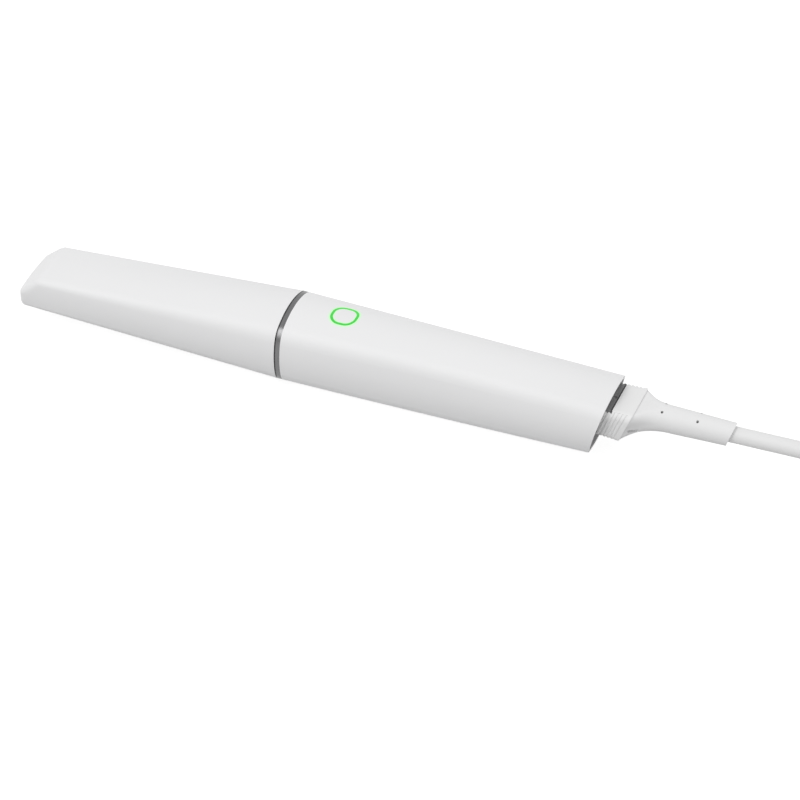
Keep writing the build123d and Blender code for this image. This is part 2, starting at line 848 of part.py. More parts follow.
for name, piece, line in (("cable", cable, cable_line), ("tail", cable_tail, tail_line)):
    length = sum(edge.length for edge in line.edges())
    expected = math.pi * cable_radius ** 2 * length
    print(name, "length", round(length, 1), "volume share", round(piece.part.volume / expected, 4))

# Hank that holds the rest of the cable, and the strap round its far side
with BuildPart() as cable_hank:
    with BuildSketch() as hank_outline:
        with Locations((hank_x, hank_y)):
            SlotCenterToCenter(hank_run, 2 * (hank_outer + cable_radius))
            SlotCenterToCenter(hank_run, 2 * (hank_fold - cable_radius), mode=Mode.SUBTRACT)
    extrude(amount=hank_height)
    rims = cable_hank.edges().filter_by_position(Axis.Z, 0, 0)
    rims += cable_hank.edges().filter_by_position(Axis.Z, hank_height, hank_height)
    fillet(rims, radius=cable_radius * boot_round)
export(cable_hank.part, "cable_hank")

tie_span = hank_columns * cable_diameter
tie_y = hank_y + (hank_fold + hank_outer) / 2

with BuildPart() as hank_tie:
    with BuildSketch(Plane.YZ.offset(hank_left + tie_place)):
        with Locations((tie_y, (hank_height + tie_thickness) / 2)):
            RectangleRounded(tie_span + 2 * tie_thickness, hank_height + tie_thickness, cable_radius)
            RectangleRounded(
                tie_span, hank_height - tie_thickness, cable_radius - tie_thickness, mode=Mode.SUBTRACT
            )
    extrude(amount=tie_width / 2, both=True)
export(hank_tie.part, "hank_tie")

# Plug at the host end, lying inside the hank
host_x = tail_route[-1][0]
host_z = host_thickness / 2
host_body_x = host_x + host_relief
host_end = host_body_x + host_length


def host_section(x, width, height, corner):
    """Rounded rectangle across the host plug at x."""
    with BuildSketch(Plane.YZ.offset(x)) as block:
        with Locations((host_y, host_z)):
            RectangleRounded(width, height, corner)
    return block.sketch


with BuildPart() as host_plug:
    relief = cable_diameter + 1.6
    loft(
        sections=[
            host_section(host_x, relief, relief, relief / 2 * boot_round),
            host_section(host_body_x, host_width - 2 * host_corner, host_thickness, host_corner),
        ]
    )
    extrude(host_section(host_body_x, host_width, host_thickness, host_corner), amount=host_length)
export(host_plug.part, "host_plug")

with BuildPart() as host_shell:
    extrude(host_section(host_end, shell_width, shell_thickness, shell_wall), amount=shell_length)
    inner_width = shell_width - 2 * shell_wall
    inner_height = shell_thickness - 2 * shell_wall
    extrude(
        host_section(host_end, inner_width, inner_height, shell_wall / 2),
        amount=shell_length,
        mode=Mode.SUBTRACT,
    )
export(host_shell.part, "host_shell")

with BuildPart() as host_tongue:
    with BuildSketch(Plane.YZ.offset(host_end)):
        with Locations((host_y, host_z + (inner_height - tongue_inset) / 4)):
            Rectangle(inner_width - tongue_inset, inner_height / 2)
    extrude(amount=shell_length - tongue_inset)
export(host_tongue.part, "host_tongue")
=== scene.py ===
# %% [markdown]
# An intraoral scanner
#
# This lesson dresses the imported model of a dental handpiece: a white wand with a removable scan
# tip, a brushed metal ring, a lit button, and a plug that carries its cable. The solids give every
# shape its size and place. Blender adds the finishes, the cable as one soft line, and the small
# pieces that a solid model leaves plain. Places on the wand are in millimetres, scaled to metres.

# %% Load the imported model
import json
import math

import bmesh
import bpy
from mathutils import Matrix, Vector

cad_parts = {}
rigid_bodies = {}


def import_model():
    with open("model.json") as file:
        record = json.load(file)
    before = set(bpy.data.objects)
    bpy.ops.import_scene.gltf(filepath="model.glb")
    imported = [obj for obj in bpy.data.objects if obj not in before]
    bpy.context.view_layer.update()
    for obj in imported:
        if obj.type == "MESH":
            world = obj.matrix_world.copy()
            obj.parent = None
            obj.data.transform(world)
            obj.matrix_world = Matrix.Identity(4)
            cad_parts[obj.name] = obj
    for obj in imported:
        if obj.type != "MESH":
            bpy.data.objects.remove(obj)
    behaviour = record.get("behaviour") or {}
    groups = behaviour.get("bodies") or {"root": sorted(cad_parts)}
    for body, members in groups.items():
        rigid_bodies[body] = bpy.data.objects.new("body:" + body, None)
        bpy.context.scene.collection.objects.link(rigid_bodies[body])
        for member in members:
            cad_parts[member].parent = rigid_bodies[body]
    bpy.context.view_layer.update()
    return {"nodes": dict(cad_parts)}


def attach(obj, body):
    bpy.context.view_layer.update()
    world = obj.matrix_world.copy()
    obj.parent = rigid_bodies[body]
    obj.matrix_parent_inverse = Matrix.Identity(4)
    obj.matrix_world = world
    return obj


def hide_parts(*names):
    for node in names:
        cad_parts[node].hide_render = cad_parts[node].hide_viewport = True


bpy.ops.object.select_all(action="SELECT")
bpy.ops.object.delete()
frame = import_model()
nodes = frame["nodes"]

MM = 0.001


# %% [markdown]
# The camera
#
# The photograph was taken from above and from the near side with a long lens, so the wand hardly
# tapers with distance. A camera is placed by its centre and by three directions: right, up and
# back. They were worked out from the wand's outline, and they make the columns of its matrix.

# %% Camera
CAMERA_PLACE = (0.4342, -1.0750, 0.9219)
lens = bpy.data.cameras.new("product_lens")
lens.lens = 180
lens.sensor_width = 36
lens.clip_end = 10
camera = bpy.data.objects.new("product_camera", lens)
bpy.context.scene.collection.objects.link(camera)
look = Vector((-0.2867, 0.7262, -0.6248)).normalized()
down = Vector((0.2327, -0.5799, -0.7808))
right = down.cross(look).normalized()
up = right.cross(look).normalized()
turned = Matrix((right, up, -look)).transposed().to_4x4()
camera.matrix_world = Matrix.Translation(CAMERA_PLACE) @ turned
bpy.context.scene.camera = camera
bpy.context.scene.view_settings.view_transform = "Standard"
print("camera looks", [round(v, 3) for v in look], "right is", [round(v, 3) for v in right])


# %% [markdown]
# Wires and graphs
#
# A Blender material is a graph of nodes. Long graphs are hard to read when every node and link is a
# line of its own, so two small classes let Python's operators do the wiring. A Wire stands for one
# socket, and a sum or a product of wires adds a Math node.

# %% Wires
class Wire:
    """One value on its way through a graph."""

    def __init__(self, graph, socket):
        self.graph = graph
        self.socket = socket

    def maths(self, operation, *values):
        """One Math node."""
        return self.graph.node("ShaderNodeMath", {"operation": operation}, dict(enumerate(values)))

    def __add__(self, other):
        return self.maths("ADD", self, other)

    def __sub__(self, other):
        return self.maths("SUBTRACT", self, other)

    def __rsub__(self, other):
        return self.maths("SUBTRACT", other, self)

    def __mul__(self, other):
        return self.maths("MULTIPLY", self, other)

    def __abs__(self):
        return self.maths("ABSOLUTE", self)

    def at_least(self, other):
        return self.maths("MAXIMUM", self, other)

    def at_most(self, other):
        return self.maths("MINIMUM", self, other)

    def root(self):
        return self.maths("SQRT", self)

    def wave(self):
        return self.maths("SINE", self)

    def fade(self, start, end):
        """0 up to start and 1 from end on, with a soft change between them."""
        settings = {"interpolation_type": "SMOOTHSTEP"}
        return self.graph.node("ShaderNodeMapRange", settings, {0: self, 1: start, 2: end})

    __radd__ = __add__
    __rmul__ = __mul__


def diagonal(across, aside):
    """How long a step is that goes so far across and so far aside."""
    return (across * across + aside * aside).root()


# %% [markdown]
# A Graph makes any kind of node from its settings and inputs, and gives back one of its outputs as
# a Wire. It can also tell who looks at a surface: the studio answers the camera in one way, and
# light that only lands on things in another.

# %% Graph
class Graph:
    """A tree of nodes that is wired by calls."""

    def __init__(self, tree):
        self.tree = tree

    def node(self, kind, settings, inputs, output=0):
        """A new node, and a Wire from one of its outputs where it has any."""
        made = self.tree.nodes.new(kind)
        for name, value in settings.items():
            setattr(made, name, value)
        for socket, value in inputs.items():
            self.feed(made.inputs[socket], value)
        return Wire(self, made.outputs[output]) if made.outputs else None

    def feed(self, socket, value):
        if isinstance(value, Wire):
            self.tree.links.new(value.socket, socket)
        else:
            socket.default_value = value

    def seen(self):
        """1 where the camera, a reflection or a view through glass looks, and 0 for other light."""
        rays = ("Camera", "Glossy", "Transmission")
        paths = [self.node("ShaderNodeLightPath", {}, {}, f"Is {ray} Ray") for ray in rays]
        return paths[0].at_least(paths[1]).at_least(paths[2])


# %% [markdown]
# The studio
#
# The photograph has a pure white ground and soft light from all round, strongest from above. An
# even grey world gives that light. What the camera and reflections see is white instead, so that
# the metal shows a white room.

# %% World
world = bpy.data.worlds.new("studio")
bpy.context.scene.world = world
world.use_nodes = True
world.node_tree.nodes.clear()
room = Graph(world.node_tree)
light = room.node("ShaderNodeBackground", {}, {"Color": (1, 1, 1, 1), "Strength": 0.82})
white = room.node("ShaderNodeBackground", {}, {"Color": (1, 1, 1, 1), "Strength": 1.0})
either = room.node("ShaderNodeMixShader", {}, {0: room.seen(), 1: light, 2: white})
room.node("ShaderNodeOutputWorld", {}, {"Surface": either})
print("world nodes", len(world.node_tree.nodes))

# %% [markdown]
# The floor is paper. Light that lands on it finds a middle grey, so little of it comes back to the
# wand's underside. The camera sees a dim grey with white light added, which leaves only a trace of
# the shadow. The floor lies a hair under height 0, where the lowest faces of the object are.

# %% Floor
FLOOR_SIZE = 1.6
HAIR = 0.05 * MM
bpy.ops.mesh.primitive_plane_add(size=FLOOR_SIZE, location=(0.1, 0, -HAIR))
floor = bpy.context.object
floor.name = "studio_floor"
paper = bpy.data.materials.new("floor_paper")
paper.use_nodes = True
paper.node_tree.nodes.clear()
ground = Graph(paper.node_tree)
landing = ground.node("ShaderNodeBsdfDiffuse", {}, {"Color": (0.46, 0.46, 0.46, 1)})
shadowed = ground.node("ShaderNodeBsdfDiffuse", {}, {"Color": (0.3, 0.3, 0.3, 1)})
glow = ground.node("ShaderNodeEmission", {}, {"Color": (1, 1, 1, 1), "Strength": 0.88})
shown = ground.node("ShaderNodeAddShader", {}, {0: shadowed, 1: glow})
either = ground.node("ShaderNodeMixShader", {}, {0: ground.seen(), 1: landing, 2: shown})
ground.node("ShaderNodeOutputMaterial", {}, {"Surface": either})
floor.data.materials.append(paper)
print("the floor is", FLOOR_SIZE, "m wide")

# %% [markdown]
# Two soft lamps stand in front of the wand's near side. The higher one adds the brighter top and
# the short highlight on the ring, and the lower one lifts the flank. Both are weak enough for white
# plastic to stay just under white.

# %% Lamps
def lamp(name, direction, distance, size, power):
    """A square soft lamp that faces the wand from a direction."""
    towards = Vector(direction).normalized()
    bpy.ops.object.light_add(type="AREA", location=towards * distance)
    made = bpy.context.object
    made.name = name
    made.data.size = size
    made.data.energy = power
    made.rotation_euler = towards.to_track_quat("Z", "Y").to_euler()
    print(name, "at", [round(v, 2) for v in made.location], "power", power)


lamp("key_lamp", (-0.29, -0.49, 0.83), 1.3, 0.56, 3.0)
lamp("fill_lamp", (-0.28, -0.75, 0.6), 1.5, 0.5, 1.4)


# %% [markdown]
# A finish
#
# Every finish starts from Blender's Principled shader. What is the same all over a surface is typed
# on the shader's own sockets. What changes from place to place is wired in, and reads the place on
# the surface in millimetres, so that a grain has its real size on every piece.

# %% Finish
class Finish(Graph):
    """A material with a place in millimetres, ready for grain, wear and colour."""

    def __init__(self, name, colour, roughness, **settings):
        self.material = bpy.data.materials.new(name + "_finish")
        self.material.use_nodes = True
        super().__init__(self.material.node_tree)
        self.shader = self.tree.nodes["Principled BSDF"]
        self.shader.inputs["Base Color"].default_value = (*colour, 1)
        self.shader.inputs["Roughness"].default_value = roughness
        for socket, value in settings.items():
            self.shader.inputs[socket.replace("_", " ")].default_value = value
        here = self.node("ShaderNodeTexCoord", {}, {}, "Object")
        scaled = {0: here, "Scale": 1 / MM}
        self.point = self.node("ShaderNodeVectorMath", {"operation": "SCALE"}, scaled)
        self.x, self.y, self.z = (
            self.node("ShaderNodeSeparateXYZ", {}, {0: self.point}, axis) for axis in "XYZ"
        )

    def change(self, socket, value):
        """Wire a value into one of the shader's own sockets."""
        self.feed(self.shader.inputs[socket], value)

    def noise(self, size, detail=2.0, stretch=(1, 1, 1)):
        """Random values from 0 to 1 in blobs of a size in millimetres, longer where stretched."""
        scale = [1 / (size * s) for s in stretch]
        at = self.node("ShaderNodeMapping", {}, {"Vector": self.point, "Scale": scale})
        return self.node("ShaderNodeTexNoise", {}, {"Vector": at, "Scale": 1.0, "Detail": detail})

    def blend(self, share, first, second):
        """A colour between two colours."""
        start, end = (c if isinstance(c, Wire) else (*c, 1) for c in (first, second))
        mixed = {0: share, 6: start, 7: end}
        return self.node("ShaderNodeMix", {"data_type": "RGBA"}, mixed, 2)

    def colour(self, share, first, second):
        """Let the surface's own colour run between two colours."""
        self.change("Base Color", self.blend(share, first, second))

    def relief(self, height, depth):
        """Bumps up to a depth in millimetres where the height is 1."""
        raised = {"Height": height, "Strength": 1.0, "Distance": depth * MM}
        self.change("Normal", self.node("ShaderNodeBump", {}, raised))

    def dress(self, *names):
        """Give the finish to CAD nodes."""
        for name in names:
            for slot in nodes[name].material_slots:
                slot.material = self.material
        print(self.material.name, "on", ", ".join(names))


# %% [markdown]
# Moulded plastic
#
# Nearly all that the photograph shows is white moulded plastic. Up close such plastic isn't even: a
# steel mould leaves a fine grain, the gloss changes a little from place to place, and the white
# drifts by a percent or two where the melt flowed. One helper makes all of these, and each part
# gets its own amounts: satin on the housing, a drier surface on the tip that goes through the
# steriliser, and a soft one on the boot.

# %% Moulding
def moulded(name, colour, roughness, grain, depth, drift=0.02, **settings):
    """Plastic with a grain and a depth in millimetres, and a colour that drifts by a share."""
    finish = Finish(name, colour, roughness, **settings)
    flow = finish.noise(26, 3.0, (2.5, 1, 1))
    darker = [c * (1 - drift) for c in colour]
    paler = [c * (1 + drift / 2) for c in colour]
    finish.tone = finish.blend(flow, darker, paler)
    finish.change("Base Color", finish.tone)
    patches = finish.noise(7, 2.0)
    fine = finish.noise(grain, 1.0)
    finish.change("Roughness", roughness - 0.05 + 0.07 * patches + 0.04 * fine)
    finish.relief(fine, depth)
    print(finish.material.name, "has", len(finish.tree.nodes), "nodes")
    return finish


housing_white = moulded("housing_white", (0.82, 0.82, 0.825), 0.48, 0.30, 0.004, Coat_Weight=0.04)
tip_white = moulded("tip_white", (0.81, 0.81, 0.815), 0.46, 0.36, 0.007)
button_white = moulded("button_white", (0.82, 0.82, 0.825), 0.36, 0.26, 0.004)
grip_white = moulded("grip_white", (0.82, 0.82, 0.82), 0.45, 0.30, 0.006)
boot_white = moulded("boot_white", (0.81, 0.81, 0.812), 0.58, 0.45, 0.010, drift=0.03)

# %% [markdown]
# The boot has four small vents in two pairs. Little light reaches the bottom of such a deep, narrow
# hole, so the boot's white is painted grey within a vent's radius of its middle, as painted shade.
# All four lie equally far from one point, along and aside, so one sum finds them.

# %% Vents of the boot
VENTS_X = 118.43
VENT_ALONG = 6.7
VENT_ASIDE = 2.57
VENT_SHADE_GREY = (0.11, 0.11, 0.11)
along_vents = abs(boot_white.x - VENTS_X) - VENT_ALONG
aside_vents = abs(boot_white.y) - VENT_ASIDE
# painted shade: the boot's white turns grey inside each vent
vent_shade = 1 - diagonal(along_vents, aside_vents).fade(0.38, 0.54)
vent_shade = vent_shade * boot_white.z.fade(19.0, 20.0)
boot_white.colour(vent_shade, boot_white.tone, VENT_SHADE_GREY)
boot_white.dress("cable_boot")


# %% [markdown]
# The lit button
#
# A green ring shines round the button, and white plastic beside it glows, because a little light
# goes sideways through it. That glow is painted light, and it depends on how far a point is from
# the ring. The ring is a rounded square, and a few sums give the distance from such a shape. Near
# it the white is painted pale green and sends out a little painted light of its own. The wand's
# underside must stay white, so height limits it.

# %% Glow round the ring
BUTTON_X = -12.07
RING_OUTSIDE = (5.1, 4.35)
RING_INSIDE = (4.3, 3.55)
PAINTED_GLOW_TINT = (0.45, 0.86, 0.42)
GLOW_GREEN = (0.03, 0.24, 0.03)


def from_square(finish, half, corner):
    """Millimetres outwards from a rounded square round the button, and below 0 inside it."""
    across = abs(finish.x - BUTTON_X) - (half - corner)
    aside = abs(finish.y) - (half - corner)
    out_x = across.at_least(0)
    out_y = aside.at_least(0)
    return diagonal(out_x, out_y) + across.at_least(aside).at_most(0) - corner


def add_glow(finish, distance, reach):
    """Painted pale green light close to the ring, and none at its reach."""
    near = (1 - distance.at_least(0) * (1 / reach)).at_least(0)
    amount = near * near * finish.z.fade(24.0, 27.0)
    # painted light: the white is tinted pale green and given a green emission near the ring
    finish.colour(amount, finish.tone, PAINTED_GLOW_TINT)
    finish.change("Emission Color", finish.blend(amount, (0, 0, 0), GLOW_GREEN))
    finish.shader.inputs["Emission Strength"].default_value = 1.0


add_glow(housing_white, from_square(housing_white, *RING_OUTSIDE), 1.5)
add_glow(button_white, 0 - from_square(button_white, *RING_INSIDE), 1.3)
housing_white.dress("housing_shell")
button_white.dress("button_cap")

# %% Light ring
DIM_GREEN = (0.045, 0.46, 0.05)
BRIGHT_GREEN = (0.075, 0.56, 0.08)
light_green = Finish("light_green", (0.01, 0.07, 0.01), 0.35, Emission_Strength=1.0)
speckle = light_green.noise(0.8, 2.0)
light_green.change("Emission Color", light_green.blend(speckle, DIM_GREEN, BRIGHT_GREEN))
light_green.relief(light_green.noise(0.3, 1.0), 0.004)
light_green.dress("light_ring")


# %% [markdown]
# Metal
#
# The trim ring was turned and then brushed, so its scratches run round the wand. Noise that is long
# round the ring and very short along the wand draws them, both in the gloss and as fine grooves.
# The ring's front edge has a painted shadow, almost black, where it goes down into the joint with
# the tip. The castings are blasted, which leaves a dull, even skin, and the heat sink keeps the
# lines of its extrusion. A metal's colour is what it reflects, so the greys are darker than a grey
# paint.

# %% Metal finishes
JOINT_SHADOW_START, JOINT_SHADOW_END = -33.3, -33.0
trim_steel = Finish("trim_steel", (0.36, 0.36, 0.37), 0.30, Metallic=1.0)
scratches = trim_steel.noise(1.0, 3.0, (0.045, 6, 6))
broad = trim_steel.noise(1.0, 2.0, (0.3, 9, 9))
brushed = trim_steel.blend(scratches, (0.09, 0.09, 0.092), (0.26, 0.26, 0.265))
# painted shadow: the ring's front edge turns almost black in the joint with the tip
joint_shadow = 1 - trim_steel.x.fade(JOINT_SHADOW_START, JOINT_SHADOW_END)
trim_steel.colour(joint_shadow, brushed, (0.03, 0.03, 0.03))
trim_steel.change("Roughness", 0.17 + 0.10 * scratches + 0.06 * broad)
trim_steel.relief(scratches, 0.010)
trim_steel.dress("trim_ring")

cast_alloy = Finish("cast_alloy", (0.62, 0.63, 0.65), 0.5, Metallic=1.0)
blast = cast_alloy.noise(0.35, 3.0)
stain = cast_alloy.noise(9, 3.0)
cast_alloy.colour(stain, (0.54, 0.55, 0.57), (0.68, 0.69, 0.71))
cast_alloy.change("Roughness", 0.42 + 0.2 * blast)
cast_alloy.relief(blast, 0.03)
cast_alloy.dress("chassis")

sink_alloy = Finish("sink_alloy", (0.55, 0.56, 0.58), 0.35, Metallic=1.0)
drawn = sink_alloy.noise(0.25, 2.0, (30, 1, 1))
sink_alloy.colour(drawn, (0.46, 0.47, 0.49), (0.64, 0.65, 0.67))
sink_alloy.change("Roughness", 0.26 + 0.18 * drawn)
sink_alloy.relief(drawn, 0.012)
sink_alloy.dress("heat_sink")

# %% [markdown]
# The heads of the two rear screws were faced on a lathe, which leaves fine rings round each axis. A
# sine of the distance from the axis draws them, 0.18 mm apart.

# %% Screws
SCREW_Y, SCREW_Z = 7.0, 7.5
FACED = 34.0
screw_steel = Finish("screw_steel", (0.5, 0.5, 0.5), 0.3, Metallic=1.0)
from_axis = diagonal(abs(screw_steel.y) - SCREW_Y, screw_steel.z - SCREW_Z)
rings = (from_axis * FACED).wave()
screw_steel.colour(rings * 0.5 + 0.5, (0.44, 0.44, 0.45), (0.56, 0.56, 0.57))
screw_steel.change("Roughness", 0.26 + 0.06 * rings)
screw_steel.relief(rings, 0.006)
screw_steel.dress("rear_screws")


# %% [markdown]
# Dark parts
#
# The plug's core shows in the mouth as a dark grey strip, dry and fine-grained, with a painted
# shadow along the edge where it meets the white grip. The snout is matt black so that no stray
# light reaches the cameras, and the barrels are turned aluminium with a black anodised skin, which
# keeps the rings of the lathe, 0.3 mm apart.

# %% Dark finishes
STRIP_SHADOW_REAR = (94.0, 94.2)
STRIP_SHADOW_TOP = (22.2, 22.8)
core_grey = moulded("core_grey", (0.27, 0.27, 0.272), 0.55, 0.35, 0.012, drift=0.10)
plate_grey = moulded("plate_grey", (0.05, 0.05, 0.052), 0.60, 0.50, 0.015, drift=0.12)
socket_black = moulded("socket_black", (0.022, 0.022, 0.023), 0.50, 0.35, 0.010, drift=0.15)
snout_black = moulded("snout_black", (0.028, 0.028, 0.030), 0.62, 0.40, 0.015, drift=0.15)
chip_black = moulded("chip_black", (0.03, 0.03, 0.031), 0.65, 0.16, 0.012, drift=0.15)
tongue_black = moulded("host_tongue_black", (0.03, 0.03, 0.03), 0.55, 0.30, 0.008, drift=0.12)
# painted shadow: the strip turns darker along the grip's notch
notch_shadow = core_grey.x.fade(*STRIP_SHADOW_REAR) * core_grey.z.fade(*STRIP_SHADOW_TOP)
core_grey.colour(notch_shadow, core_grey.tone, (0.05, 0.05, 0.051))
core_grey.dress("plug_connector")
plate_grey.dress("rear_plate")
socket_black.dress("plug_socket")
snout_black.dress("snout")
chip_black.dress("processor", "button_switch")
tongue_black.dress("host_tongue")

TURNED = 21.0
barrel_black = Finish("barrel_black", (0.05, 0.05, 0.055), 0.35, Metallic=0.7)
turning = (barrel_black.x * TURNED).wave() * 0.5 + 0.5
dusty = barrel_black.noise(4, 2.0)
barrel_black.colour(dusty, (0.035, 0.035, 0.04), (0.07, 0.07, 0.078))
barrel_black.change("Roughness", 0.26 + 0.1 * turning + 0.08 * dusty)
barrel_black.relief(turning, 0.015)
barrel_black.dress("projector_barrel", "camera_barrel_left", "camera_barrel_right")


# %% [markdown]
# Glass and mirror
#
# Light leaves and comes back through the snout's window and three coated lenses. Clean glass is
# plain, so its detail is in the gloss: faint wiping marks on the window, and a coating with a
# purple tint on the lenses. The tip's mirror is silvered on its front, with a ground edge that is
# rough and grey.

# %% Clear finishes
window_glass = Finish("window_glass", (0.85, 0.90, 0.92), 0.03, Transmission_Weight=0.92, IOR=1.5)
wiped = window_glass.noise(5, 3.0, (1, 4, 1))
window_glass.change("Roughness", 0.01 + 0.05 * wiped)
window_glass.colour(wiped, (0.82, 0.89, 0.91), (0.88, 0.92, 0.93))
window_glass.dress("snout_window")

lens_glass = Finish(
    "lens_glass", (0.5, 0.55, 0.7), 0.02, Transmission_Weight=0.85, IOR=1.6, Coat_Weight=0.6
)
tint = lens_glass.noise(3, 1.0)
lens_glass.colour(tint, (0.42, 0.46, 0.70), (0.58, 0.50, 0.72))
lens_glass.change("Roughness", 0.01 + 0.03 * tint)
lens_glass.dress("projector_lens", "camera_lens_left", "camera_lens_right")

mirror_silver = Finish("mirror_silver", (0.9, 0.9, 0.92), 0.02, Metallic=1.0)
ground_edge = abs(mirror_silver.y).fade(9.6, 9.9)
mirror_silver.colour(ground_edge, (0.90, 0.90, 0.92), (0.55, 0.57, 0.58))
mirror_silver.change("Roughness", 0.015 + 0.35 * ground_edge + 0.02 * mirror_silver.noise(6, 2.0))
mirror_silver.dress("tip_mirror")


# %% [markdown]
# Circuit boards
#
# A board is glass fibre under a green lacquer. Copper tracks stand out under the lacquer as
# slightly paler lines, and bare gilded pads break through it. Blender's brick texture has the right
# look for tracks, long straight runs with short jogs between them, and a cell texture scatters the
# pads.

# %% Board finishes
def board(name, along, across):
    """Green lacquer with tracks and pads in the plane of two of the surface's directions."""
    finish = Finish(name, (0.03, 0.20, 0.09), 0.32, Coat_Weight=0.2)
    flat = {"X": getattr(finish, along), "Y": getattr(finish, across), "Z": 0.0}
    plane = finish.node("ShaderNodeCombineXYZ", {}, flat)
    bricks = {"Scale": 1.0, "Mortar Size": 0.09, "Brick Width": 4.6, "Row Height": 0.75}
    bricks["Vector"] = plane
    tracks = finish.node("ShaderNodeTexBrick", {"offset": 0.37}, bricks, "Fac")
    cells = finish.node("ShaderNodeTexVoronoi", {}, {"Vector": plane, "Scale": 0.42})
    pads = 1 - cells.fade(0.13, 0.15)
    lacquer = finish.blend(tracks, (0.025, 0.17, 0.075), (0.05, 0.30, 0.13))
    finish.colour(pads, lacquer, (0.75, 0.55, 0.22))
    finish.change("Metallic", pads)
    finish.change("Roughness", 0.30 + 0.08 * finish.noise(3, 2.0))
    finish.relief(tracks + pads * 0.5, 0.035)
    return finish


board("board_green_flat", "x", "y").dress("main_board", "button_board", "contact_tongue")
board("board_green_upright", "y", "z").dress("sensor_board")


# %% [markdown]
# The cable's line
#
# The cable is a fixed length of something that bends. It leaves the boot almost level, and the
# length that the photograph doesn't show is put away just outside the view. One spline of control
# points makes all of it. A NURBS spline of order three rounds every corner by itself, so the route
# only needs the few points that a hand would place. The lead swings over to the near side of the
# hank and rests on its top layer. The tail comes out of the bottom layer, inside the hank, and ends
# in the host plug. Each point carries the cable's radius, and the bevel draws the line exactly that
# thick.

# %% Route outside the hank
lead = [
    (129.8, 0, 19.3),
    (152.8, 0.3, 19.5),
    (176.2, 0.6, 19.6),
    (199.6, -13.8, 16.3),
]
tail = [
    (216.0, -7.6, 3.1),
    (228.0, -6.6, 3.2),
    (239.0, 0.2, 3.5),
    (250.0, 6.6, 3.9),
    (261.0, 7.4, 4.0),
    (271.0, 7.4, 4.0),
]
print("points before the hank", len(lead), "and after it", len(tail))


# %% [markdown]
# The hank
#
# A slim object is stored with its cable folded into a long hank, here five turns in three layers of
# two columns. Each turn keeps its own track, and somewhere on the way round it steps one cable's
# width sideways or down, to the next free track. The steps follow one another backwards round the
# hank: a turn leaves its track just before the turn behind it steps in, so none goes through its
# neighbour. Two points near the strap lie a little higher, because the strap goes under them.

# %% Tracks of the hank
HANK_LEFT = 209.9
HANK_RIGHT = 299.9
HANK_Y = 11
FOLD = 18.6
CABLE = 6.2
STRAP_LIFT = 0.85
STEP = 0.2
TURNS = 5


def eased(turns, start):
    """How far a step that begins at start has gone after so many turns, gently at both ends."""
    share = min(max((turns - start) / STEP, 0), 1)
    return 2 * share * share if share < 0.5 else 1 - 2 * (1 - share) ** 2


def track(turns):
    """Distance from the hank's middle line, and height, after so many turns."""
    outer = 1 - eased(turns, 0.45) + eased(turns, 2.25) - eased(turns, 4.05)
    layer = 2 - eased(turns, 1.35) - eased(turns, 3.15)
    return FOLD + CABLE * outer, CABLE * (0.5 + layer)


# %% Points of the hank
def run(turns, start, end, side, lift):
    """Control points of a quarter turn along one side, its second half lifted over the strap."""
    points = []
    for share in (0.06, 0.35, 0.65, 0.94):
        off, z = track(turns + share / 4)
        x = start + (end - start) * share
        points.append((x, HANK_Y + side * off, z + (lift if share > 0.5 else 0)))
    return points


def fold(turns, middle, towards):
    """Control points of a quarter turn round one end, whose middle faces a way in degrees."""
    points = []
    for degrees in (-75, -45, -15, 15, 45, 75):
        off, z = track(turns + (degrees + 90) / 720)
        reach = off / math.cos(math.radians(15))
        angle = math.radians(towards + degrees)
        points.append((middle + reach * math.cos(angle), HANK_Y + reach * math.sin(angle), z))
    return points


hank = []
for turn in range(TURNS):
    hank += run(turn, HANK_LEFT, HANK_RIGHT, -1, 0)
    hank += fold(turn + 0.25, HANK_RIGHT, 0)
    hank += run(turn + 0.5, HANK_RIGHT, HANK_LEFT, 1, STRAP_LIFT)
    hank += fold(turn + 0.75, HANK_LEFT, 180)
print("points in the hank", len(hank))

# %% Draw the line
bpy.ops.curve.primitive_nurbs_path_add(enter_editmode=False)
cable = bpy.context.object
cable.name = "signal_cable"
spline = cable.data.splines[0]
route = lead + hank + tail
spline.points.add(len(route) - len(spline.points))
for point, (x, y, z) in zip(spline.points, route):
    point.co = (x * MM, y * MM, z * MM, 1)
    point.radius = CABLE / 2 * MM
spline.order_u = 3
spline.use_endpoint_u = True
cable.data.resolution_u = 8
print("points in the spline", len(spline.points))

# %% [markdown]
# As long as the curve has no bevel, its mesh is only the line, so the lengths of the mesh's edges
# add up to the length of the cable. After that the bevel gives the line its thickness.

# %% Make the line's mesh, then thicken it
line = bpy.data.meshes.new_from_object(cable)
bpy.data.meshes.remove(line)
cable.data.bevel_resolution = 8
cable.data.bevel_depth = 1.0
cable.data.use_fill_caps = True
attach(cable, "plug")
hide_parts("cable", "cable_hank", "cable_tail")


# %% [markdown]
# The cable's jacket
#
# The jacket is soft white plastic, pulled straight from the extruder. It has no grain, only a slow
# change of gloss and the faintest orange peel, so it looks smoother than the boot that it leaves.

# %% Jacket
cable_white = moulded("cable_white", (0.80, 0.80, 0.80), 0.50, 1.6, 0.010, drift=0.025)
cable.data.materials.append(cable_white.material)


# %% [markdown]
# Working by hand, in code
#
# The small pieces are modelled as in the viewport: start from a box or a rod, select faces or
# edges, and push them about. Each piece is started with its place already in its mesh, so its
# object stays at the origin.

# %% Boxes and rods
def settle(name):
    """Name the new object and put its place, turn and size into its mesh."""
    made = bpy.context.object
    made.name = name
    bpy.ops.object.transform_apply(location=True, rotation=True, scale=True)
    return made


def block(name, low, high):
    """A box between two corners in millimetres."""
    centre = [(a + b) / 2 * MM for a, b in zip(low, high)]
    size = [(b - a) * MM for a, b in zip(low, high)]
    bpy.ops.mesh.primitive_cube_add(size=1, location=centre, scale=size)
    return settle(name)


